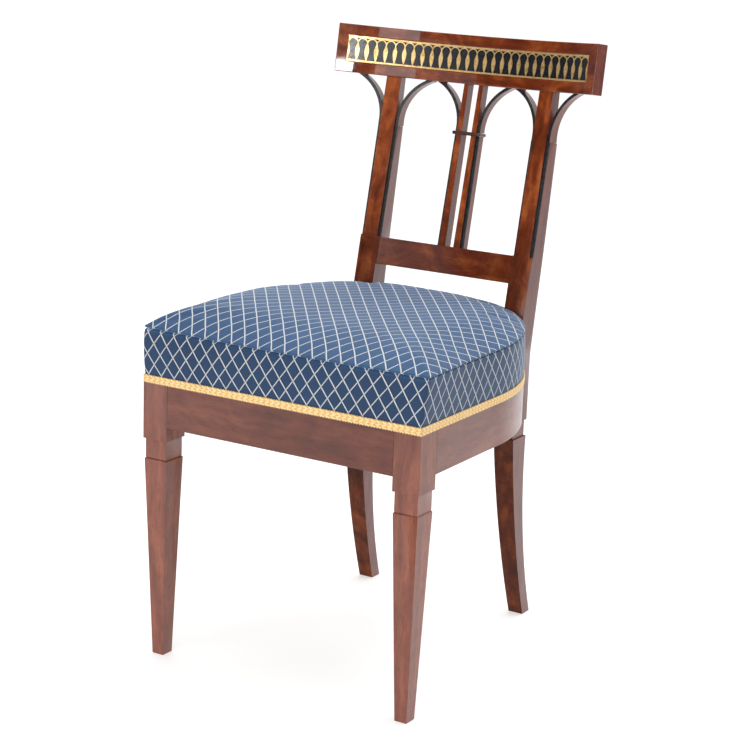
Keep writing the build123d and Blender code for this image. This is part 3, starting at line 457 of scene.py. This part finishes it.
def padTop(across, along):
    # plan of the top: the mix of front and rear plus the mix of left and right, less that of the corners
    wide, deep = len(across), len(along)
    rim = rimLoop(pad["topInset"], across, along)
    front, right = rim[:wide], rim[wide - 1:wide + deep - 1]
    rear = rim[wide + deep - 2:2 * wide + deep - 2][::-1]
    left = np.concatenate([rim[2 * wide + deep - 3:], rim[:1]])[::-1]
    u, v = across[None, :, None], along[:, None, None]
    top = ((1 - v) * front[None] + v * rear[None] + (1 - u) * left[:, None] + u * right[:, None]
           - (1 - u) * (1 - v) * front[0] - u * (1 - v) * front[-1]
           - (1 - u) * v * rear[0] - u * v * rear[-1])
    rise = crownHeight(top[..., 0], top[..., 1], pad["topInset"])
    # the top stands higher midway along its left side
    swell = pad["swell"] * np.exp(-((top[..., 1] - pad["swellAt"]) / pad["swellReach"])**2)
    tilt = pad["tilt"] + np.where(top[..., 0] < 0, swell, 0)
    height = pad["ledge"] + pad["seam"] + rise - tilt * top[..., 0] / pad["tiltSpan"] * rise / pad["crown"]
    return rim, top, height


def padUnderside(last, firstInner, wide, deep):
    # grid of point numbers under the pad: the last loop round its edge, new points within
    under = np.empty((deep, wide), int)
    under[0, :-1], under[:-1, -1] = last[:wide - 1], last[wide - 1:wide + deep - 2]
    under[-1, :0:-1] = last[wide + deep - 2:2 * wide + deep - 3]
    under[:0:-1, 0] = last[2 * wide + deep - 3:]
    inner = np.arange((wide - 2) * (deep - 2)).reshape(deep - 2, -1)
    under[1:-1, 1:-1] = firstInner + inner
    return under


def makePad():
    wide, deep = pad["across"], pad["along"]
    across, along = easedSteps(wide), easedSteps(deep)
    rim, top, height = padTop(across, along)
    count = len(rim)
    points = [np.concatenate([top, height[..., None]], 2).reshape(-1, 3)]
    for inset, level in padRows():
        loop = rimLoop(inset, across, along)
        points.append(np.concatenate([loop, np.full((count, 1), pad["ledge"] + level)], 1))
    rows = len(points) - 1
    inner = top[1:-1, 1:-1]                      # the underside repeats the plan of the top
    innerLevel = np.full(inner.shape[:2] + (1,), pad["ledge"] + pad["floor"])
    points.append(np.concatenate([inner, innerLevel], 2).reshape(-1, 3))
    points = np.concatenate(points)
    index = np.arange(wide * deep).reshape(deep, wide)
    edgeLoop = np.concatenate([index[0, :-1], index[:-1, -1], index[-1, :0:-1], index[:0:-1, 0]])
    loops = [edgeLoop] + [wide * deep + row * count + np.arange(count) for row in range(rows)]
    flat = points[:, :2] * (1, -1)
    steps = np.linalg.norm(np.roll(rim, -1, 0) - rim, axis=1)
    girth = np.concatenate([[0], np.cumsum(steps)]) - plan["halfWidth"]
    faces = [gridQuads(index, turned=True)]
    corners = [flat[faces[0]]]
    for row in range(rows):
        upper, lower = loops[row], loops[row + 1]
        band = np.stack([upper, lower, np.roll(lower, -1), np.roll(upper, -1)], 1)
        if row < 3:                              # the cloth of the top runs down into the seam
            corners.append(flat[band])
        else:
            spread = np.stack([girth[:-1], girth[:-1], girth[1:], girth[1:]], 1)
            corners.append(np.stack([spread, -points[band][..., 2] - pad["clothDrop"]], -1))
        faces.append(band)
    under = padUnderside(loops[-1], len(points) - inner.shape[0] * inner.shape[1], wide, deep)
    faces.append(gridQuads(under))
    corners.append(flat[faces[-1]])
    held = np.zeros(len(points))                 # seam, foot and underside stay, the rim nearly does
    held[np.concatenate(loops[2:7])] = 1.0
    held[np.concatenate(loops[:2])] = 0.75
    held[np.concatenate(loops[-7:])] = 1.0
    held[under[1:-1, 1:-1].ravel()] = 1.0
    points = leanField(points)
    points[:, 1] += frontFace
    mesh = bpy.data.meshes.new("seatPad")
    mesh.from_pydata(points.tolist(), [], np.concatenate(faces).tolist())
    layer = mesh.uv_layers.new(name="cloth")
    layer.data.foreach_set("uv", np.concatenate(corners).astype(np.float32).ravel())
    return mesh, held


def swollen(mesh, held):
    # pressure from inside swells the cover between its seams; no point moves further than the cap
    work = bpy.data.objects.new("padWork", mesh.copy())
    bpy.context.scene.collection.objects.link(work)
    group = work.vertex_groups.new(name="held")
    for weight in np.unique(held[held > 0]):
        group.add(np.nonzero(held == weight)[0].tolist(), float(weight), "REPLACE")
    cloth = work.modifiers.new("swell", "CLOTH")
    settings = cloth.settings
    settings.quality = 6
    settings.mass = 0.25
    settings.tension_stiffness = settings.compression_stiffness = 25
    settings.shear_stiffness = 12
    settings.bending_stiffness = 1.5
    settings.use_pressure = True
    settings.uniform_pressure_force = pad["pressure"]
    settings.vertex_group_mass = "held"
    settings.effector_weights.gravity = 0
    cloth.point_cache.frame_end = pad["frames"]
    before = readRows(mesh.vertices, "co")
    for number in range(1, pad["frames"] + 1):
        bpy.context.scene.frame_set(number)
    shown = work.evaluated_get(bpy.context.evaluated_depsgraph_get())
    moved = readRows(shown.data.vertices, "co") - before
    far = np.linalg.norm(moved, axis=1, keepdims=True)
    moved *= pad["cap"] * np.tanh(far / pad["cap"]) / np.maximum(far, 1e-9)
    mesh.vertices.foreach_set("co", (before + moved).ravel())
    bpy.context.scene.frame_set(1)
    bpy.data.objects.remove(work)
    print("pad swollen by up to", round(float(far.max()) * 1000, 1), "mm, capped to",
          round(float(np.linalg.norm(moved, axis=1).max()) * 1000, 1))


padMesh, padHeld = makePad()
swollen(padMesh, padHeld)
backLeg = {"inner": 0.1155, "outer": 0.1485, "front": 0.410, "rakeFrom": 0.424, "rake": 0.2199,
           "clear": 0.0003}


def shownMesh(piece):
    shown = piece.evaluated_get(bpy.context.evaluated_depsgraph_get())
    return bpy.data.meshes.new_from_object(shown)


def clearOfLegs(mesh):
    # points inside a back leg move out to its nearest face; above the rails its front leans back
    points = readRows(mesh.vertices, "co")
    inner, outer = backLeg["inner"] - backLeg["clear"], backLeg["outer"] + backLeg["clear"]
    raked = backLeg["rake"] * np.clip(points[:, 2] - backLeg["rakeFrom"], 0, None)
    legFront = frontFace + backLeg["front"] - backLeg["clear"] + raked
    x, y = abs(points[:, 0]), points[:, 1]
    depths = np.stack([y - legFront, x - inner, outer - x], 1)
    inside = (depths > 0).all(1)
    nearest = depths.argmin(1)
    y = np.where(inside & (nearest == 0), legFront, y)
    x = np.where(inside & (nearest == 1), inner, np.where(inside & (nearest == 2), outer, x))
    points[:, 0] = np.sign(points[:, 0]) * x
    points[:, 1] = y
    mesh.vertices.foreach_set("co", points.ravel())


# Woven cover: royal blue twill, a heavy pale thread one way and a thinner one the other
cover = {"across": 0.0217, "down": 0.0290, "wobble": (0.0012, 0.0012, 0), "twill": 0.0011,
         "heavyWidth": 0.092, "heavyTone": (0.78, 0.78, 0.74),
         "thinWidth": 0.082, "thinTone": (0.70, 0.70, 0.66),
         "borderTop": 0.0700, "topFoot": 0.0745}


def makeCover():
    material, tree, shader = newMaterial("blueLattice")
    cloth = addNode(tree, "ShaderNodeUVMap", uv_map="cloth").outputs[0]
    wobble = noise(tree, cloth, 60.0, 2.0, output="Color")
    place = vectorNode(tree, "ADD", cloth, vectorNode(tree, "MULTIPLY", wobble, cover["wobble"]))
    parts = addNode(tree, "ShaderNodeSeparateXYZ", {0: place})
    u, v = parts.outputs[0], parts.outputs[1]
    wide = mathNode(tree, "DIVIDE", u, cover["across"])
    tall = mathNode(tree, "DIVIDE", v, cover["down"])
    falling = mathNode(tree, "ADD", wide, tall)
    rising = mathNode(tree, "SUBTRACT", wide, tall)

    def offLine(cell):
        return mathNode(tree, "ABSOLUTE", mathNode(tree, "SUBTRACT", mathNode(tree, "FRACT", cell), 0.5))

    def threadLine(cell, along, width, dash, keep):
        line = rangeNode(tree, offLine(cell), 0.62 * width, 0.38 * width, 0.0, 1.0)
        beat = mathNode(tree, "SINE", mathNode(tree, "MULTIPLY", along, 2 * math.pi * dash))
        return mathNode(tree, "MULTIPLY", line, rangeNode(tree, beat, -1.0, 0.1, keep, 1.0))

    heavy = threadLine(rising, falling, cover["heavyWidth"], 9.0, 0.70)
    thin = threadLine(falling, rising, cover["thinWidth"], 7.0, 0.60)
    thin = mathNode(tree, "MULTIPLY", thin, rangeNode(tree, offLine(rising), 0.06, 0.11, 0.15, 1.0))
    slanted = mathNode(tree, "ADD", u, mathNode(tree, "MULTIPLY", v, 0.5))
    twill = mathNode(tree, "SINE", mathNode(tree, "MULTIPLY", slanted, 2 * math.pi / cover["twill"]))
    slub = noise(tree, cloth, 900.0, 3.0, roughness=0.7)
    shade = noise(tree, cloth, 9.0, 3.0)
    tone = mathNode(tree, "MULTIPLY_ADD", slub, 0.7, mathNode(tree, "MULTIPLY", shade, 0.3))
    tone = mathNode(tree, "MULTIPLY_ADD", twill, 0.10, tone)
    ground = ramp(tree, tone, ((0.30, (0.016, 0.048, 0.120)), (0.70, (0.042, 0.105, 0.235))))
    level = addNode(tree, "ShaderNodeSeparateXYZ", {0: objectPlace(tree)}).outputs[2]
    borderTop, topFoot = (pad["ledge"] + cover[key] for key in ("borderTop", "topFoot"))
    onTop = rangeNode(tree, level, borderTop, topFoot, 0.0, 1.0)
    # painted shade: the border strip is darkened against the top
    strip = ramp(tree, onTop, ((0.0, (0.56, 0.58, 0.60)), (1.0, (1.00, 1.04, 1.00))))
    ground = mixColour(tree, 1.0, ground, strip, blend="MULTIPLY")
    colour = mixColour(tree, mathNode(tree, "MULTIPLY", thin, 0.84), ground, cover["thinTone"])
    colour = mixColour(tree, mathNode(tree, "MULTIPLY", heavy, 0.80), colour, cover["heavyTone"])
    tree.links.new(colour, shader.inputs["Base Color"])
    shader.inputs["Roughness"].default_value = 0.62
    shader.inputs["Specular IOR Level"].default_value = 0.25
    shader.inputs["Sheen Weight"].default_value = 0.35
    shader.inputs["Sheen Roughness"].default_value = 0.4
    shader.inputs["Sheen Tint"].default_value = (0.62, 0.72, 0.90, 1)
    raised = mathNode(tree, "MAXIMUM", heavy, mathNode(tree, "MULTIPLY", thin, 0.6))
    height = mathNode(tree, "MULTIPLY_ADD", twill, 0.18, mathNode(tree, "MULTIPLY_ADD", slub, 0.5, raised))
    addBump(tree, shader, height, 0.35, 0.0004)
    return material


padDraft = addPiece("padDraft", padMesh, makeCover())
smooth = padDraft.modifiers.new("smooth", "SUBSURF")
smooth.levels = smooth.render_levels = 1
seatMesh = shownMesh(padDraft)
clearOfLegs(seatMesh)
shadeSmooth(seatMesh)
seatPad = bpy.data.objects.new("seat_pad", seatMesh)
bpy.context.scene.collection.objects.link(seatPad)
bpy.data.objects.remove(padDraft)
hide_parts("seat_cover_top", "seat_cover_boxing", "seat_cover_back_boxing", "seat_stuffing")
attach(seatPad, "root")
print("seat pad made with", len(seatMesh.polygons), "faces")


# Gimp braid: three rows of slanting stitches, small bumps above and teeth along the lower edge.
# Behind, it sinks into the pad, and below the ledge it hangs just clear of the rail
braid = {"height": 0.0100, "tooth": 0.0044, "toothDrop": 0.0014, "bump": 0.0008, "lift": 0.0002,
         "step": 0.00070, "rows": 24, "stitchRows": 3, "slant": 0.30,
         "base": 0.00035, "relief": 0.0008, "edge": 0.0006,
         "sink": 0.0008, "hang": 0.00012, "hangBelow": 0.0004,
         "pathPoints": 1500, "sideEnd": 0.4096, "rearHalf": 0.1150}


def makeBraidMaterial():
    material, tree, shader = newMaterial("goldBraid")
    place = objectPlace(tree)
    relief = addNode(tree, "ShaderNodeAttribute", attribute_name="relief").outputs["Fac"]
    thread = noise(tree, place, 620.0, 3.0, roughness=0.6)
    worn = noise(tree, place, 45.0, 4.0)
    # painted shade: the stitches darken towards their hollows and between the teeth of the lower edge
    raised = mathNode(tree, "POWER", relief, 1.8)
    tone = mathNode(tree, "MULTIPLY_ADD", raised, 0.34, mathNode(tree, "MULTIPLY", worn, 0.14))
    tone = mathNode(tree, "MULTIPLY_ADD", thread, 0.48, tone)
    colour = ramp(tree, tone, (
        (0.22, (0.60, 0.32, 0.09)), (0.46, (0.88, 0.59, 0.24)), (0.76, (1.0, 0.80, 0.48))))
    tree.links.new(colour, shader.inputs["Base Color"])
    shader.inputs["Roughness"].default_value = 0.5
    shader.inputs["Sheen Weight"].default_value = 0.3
    shader.inputs["Sheen Tint"].default_value = (1.0, 0.85, 0.6, 1)
    addBump(tree, shader, thread, 0.3, 0.0003)
    return material


def braidLine(path):
    # path resampled evenly and its corners rounded by averaging over a few steps
    steps = np.linalg.norm(np.diff(path, axis=0), axis=1)
    length = np.concatenate([[0], np.cumsum(steps)])
    run = np.linspace(0, length[-1], int(length[-1] / braid["step"]))
    line = np.stack([np.interp(run, length, path[:, axis]) for axis in (0, 1)], 1)
    for _ in range(3):
        line[1:-1] = (line[:-2] + line[1:-1] + line[2:]) / 3
    along = np.gradient(line, axis=0)
    along /= np.linalg.norm(along, axis=1, keepdims=True)
    return run, line, np.stack([along[:, 1], -along[:, 0]], 1)


def braidStrip(name, path, node, material):
    # each stitch rises by 1 - t * t across its slanting width, rounded off at the edges of its row
    run, line, outward = braidLine(path)
    q = np.linspace(0, 1, braid["rows"])
    tooth = 1 - abs(2 * ((run / braid["tooth"]) % 1) - 1)
    bump = 0.5 - 0.5 * np.cos(2 * np.pi * run / braid["tooth"])
    low = pad["ledge"] + braid["lift"] - braid["toothDrop"] * tooth
    high = pad["ledge"] + braid["height"] + braid["bump"] * bump
    z = low[:, None] + q[None] * (high - low)[:, None]
    level = braid["stitchRows"] * (z - pad["ledge"]) / braid["height"]
    within = 2 * (level % 1) - 1
    slant = np.where(np.floor(level) % 2 == 0, 1.0, -1.0)
    stitch = 2 * ((run[:, None] / (2 * braid["tooth"]) + braid["slant"] * slant * within) % 1) - 1
    relief = np.clip(1 - stitch**2, 0, 1) * np.sqrt(np.clip(1 - (within / 1.05)**2, 0, 1))
    relief = np.where(level < 0, 0.75 * tooth[:, None], relief)
    rim = np.minimum(q, 1 - q)[None] * (high - low)[:, None]
    out = (braid["base"] + braid["relief"] * relief) * np.sqrt(np.clip(rim / braid["edge"], 0.12, 1))
    behind = np.where(z < pad["ledge"] + braid["hangBelow"], braid["hang"], -braid["sink"])
    sides = []
    for offset in (out, behind):
        spread = line[:, None] + outward[:, None] * offset[..., None]
        sides.append(np.concatenate([spread, z[..., None]], 2))
    count, rows = z.shape
    points = np.concatenate([side.reshape(-1, 3) for side in sides])
    points[:, 1] += frontFace
    face = np.arange(count * rows).reshape(count, rows)
    back = face + count * rows
    rims = [np.stack([face[:, 0], back[:, 0]], 1), np.stack([back[:, -1], face[:, -1]], 1)]
    ends = [np.stack([back[0], face[0]], 0).T, np.stack([face[-1], back[-1]], 0).T]
    quads = [gridQuads(face), gridQuads(back)[:, ::-1]] + [gridQuads(pair)[:, ::-1] for pair in rims]
    quads += [gridQuads(pair) for pair in ends]
    mesh = bpy.data.meshes.new(name)
    mesh.from_pydata(points.tolist(), [], np.concatenate(quads).tolist())
    # relief also carries the painted shade of the braid's hollows
    mark = mesh.attributes.new("relief", "FLOAT", "POINT")
    reliefs = np.concatenate([relief.ravel(), np.zeros(relief.size)])
    mark.data.foreach_set("value", reliefs.astype(np.float32))
    shadeSmooth(mesh)
    piece = addPiece(name, mesh, material)
    work = bmesh.new()
    work.from_mesh(mesh)
    bmesh.ops.recalc_face_normals(work, faces=work.faces)
    work.to_mesh(mesh)
    work.free()
    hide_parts(node)
    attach(piece, "root")


goldBraid = makeBraidMaterial()
pathCount = braid["pathPoints"]
dense = np.linspace(0, 1, pathCount)
ring = rimLoop(0.0, dense, dense)
frontRun = ring[:pathCount]
sideRun = ring[pathCount - 1:2 * pathCount - 2]
sideRun = sideRun[sideRun[:, 1] < braid["sideEnd"]]
rearRun = ring[2 * pathCount - 2:3 * pathCount - 3]
frontPath = np.concatenate([(sideRun * (-1, 1))[::-1], frontRun[1:-1], sideRun])
rearPath = rearRun[abs(rearRun[:, 0]) < braid["rearHalf"]]
braidStrip("braid_front", frontPath, "seat_braid", goldBraid)
braidStrip("braid_rear", rearPath, "seat_braid_back", goldBraid)
print("braid made")


# Floor: pale, and a little brighter away from the chair
stage = {"half": 4.0, "drop": 0.0005, "near": 0.8, "far": 2.0, "nearGlow": 0.55, "farGlow": 0.66}
floorMesh = bpy.data.meshes.new("floor")
floorMesh.from_pydata([(x * stage["half"], y * stage["half"], -stage["drop"])
                       for x, y in ((-1, -1), (1, -1), (1, 1), (-1, 1))], [], [(0, 1, 2, 3)])
floorMaterial, floorTree, floorShader = newMaterial("paleFloor")
floorShader.inputs["Base Color"].default_value = (0.62, 0.62, 0.62, 1)
floorShader.inputs["Emission Color"].default_value = (1, 1, 1, 1)
floorShader.inputs["Roughness"].default_value = 0.6
away = vectorNode(floorTree, "LENGTH", objectPlace(floorTree), output="Value")
glow = rangeNode(floorTree, away, stage["near"], stage["far"], stage["nearGlow"], stage["farGlow"])
floorTree.links.new(glow, floorShader.inputs["Emission Strength"])
floor = addPiece("floor", floorMesh, floorMaterial)

# World: bright behind the chair and dark ahead of it, which the polish of the back shows
studio = {"behind": (-0.30, 0.95, 0.0), "darkTo": -0.15, "brightFrom": 0.35, "dark": 0.04, "bright": 1.05}
world = bpy.data.worlds.new("studio")
bpy.context.scene.world = world
world.use_nodes = True
worldTree = world.node_tree
sky = worldTree.nodes["Background"]
toward = addNode(worldTree, "ShaderNodeTexCoord").outputs["Generated"]
facing = vectorNode(worldTree, "DOT_PRODUCT", toward, studio["behind"], output="Value")
daylight = rangeNode(worldTree, facing, studio["darkTo"], studio["brightFrom"],
                     studio["dark"], studio["bright"])
worldTree.links.new(daylight, sky.inputs["Strength"])
sky.inputs["Color"].default_value = (1.0, 1.0, 1.0, 1)
bpy.context.scene.view_settings.view_transform = "Standard"


def softbox(name, place, target, width, height, power):
    data = bpy.data.lights.new(name, "AREA")
    data.shape = "RECTANGLE"
    data.size = width
    data.size_y = height
    data.energy = power
    lamp = bpy.data.objects.new(name, data)
    bpy.context.scene.collection.objects.link(lamp)
    lamp.location = place
    lamp.rotation_mode = "QUATERNION"
    lamp.rotation_quaternion = (Vector(target) - Vector(place)).to_track_quat("-Z", "Y")


softbox("topLight", (0.5, 0.3, 2.7), (0, 0, 0.4), 2.4, 2.4, 52.0)
softbox("sideLight", (2.2, -1.2, 1.9), (0, 0, 0.5), 1.0, 1.4, 4.5)
softbox("frontLight", (-0.5, -2.4, 2.7), (0, 0, 0.5), 1.4, 1.0, 18.0)
softbox("lowLight", (-1.3, -1.9, 0.35), (-0.1, -0.2, 0.20), 1.0, 0.5, 5.5)
# These three show in the polish of the crest
softbox("paleLight", (-0.30, -3.1, 1.52), (-0.30, 0, 1.52), 0.70, 0.50, 3.6)
softbox("veilLight", (-1.28, -3.1, 1.30), (-1.28, 0, 1.30), 1.25, 0.50, 1.8)
softbox("glintLight", (0.70, -3.1, 1.29), (0.70, 0, 1.29), 0.53, 0.32, 30.0)

# Camera at the photograph's viewing angle; y counts from the front face of the seat
view = {"eye": (1.45861, -2.16505, 1.11392), "ahead": (-0.50095, 0.83015, -0.24473),
        "roll": math.radians(2.017), "focalPixels": 2013.377, "picturePixels": 750, "sensor": 36.0}
eyeX, eyeY, eyeZ = view["eye"]
eye = Vector((eyeX, eyeY + frontFace, eyeZ))
ahead = Vector(view["ahead"]).normalized()
right = ahead.cross(Vector((0, 0, 1))).normalized()
upward = right.cross(ahead)
rolledRight = math.cos(view["roll"]) * right + math.sin(view["roll"]) * upward
rolledUp = -math.sin(view["roll"]) * right + math.cos(view["roll"]) * upward
cameraData = bpy.data.cameras.new("camera")
cameraData.sensor_width = view["sensor"]
cameraData.lens = view["focalPixels"] / view["picturePixels"] * view["sensor"]
camera = bpy.data.objects.new("camera", cameraData)
bpy.context.scene.collection.objects.link(camera)
camera.matrix_world = Matrix((
    (rolledRight.x, rolledUp.x, -ahead.x, eye.x),
    (rolledRight.y, rolledUp.y, -ahead.y, eye.y),
    (rolledRight.z, rolledUp.z, -ahead.z, eye.z),
    (0, 0, 0, 1)))
bpy.context.scene.camera = camera
print("stage set")
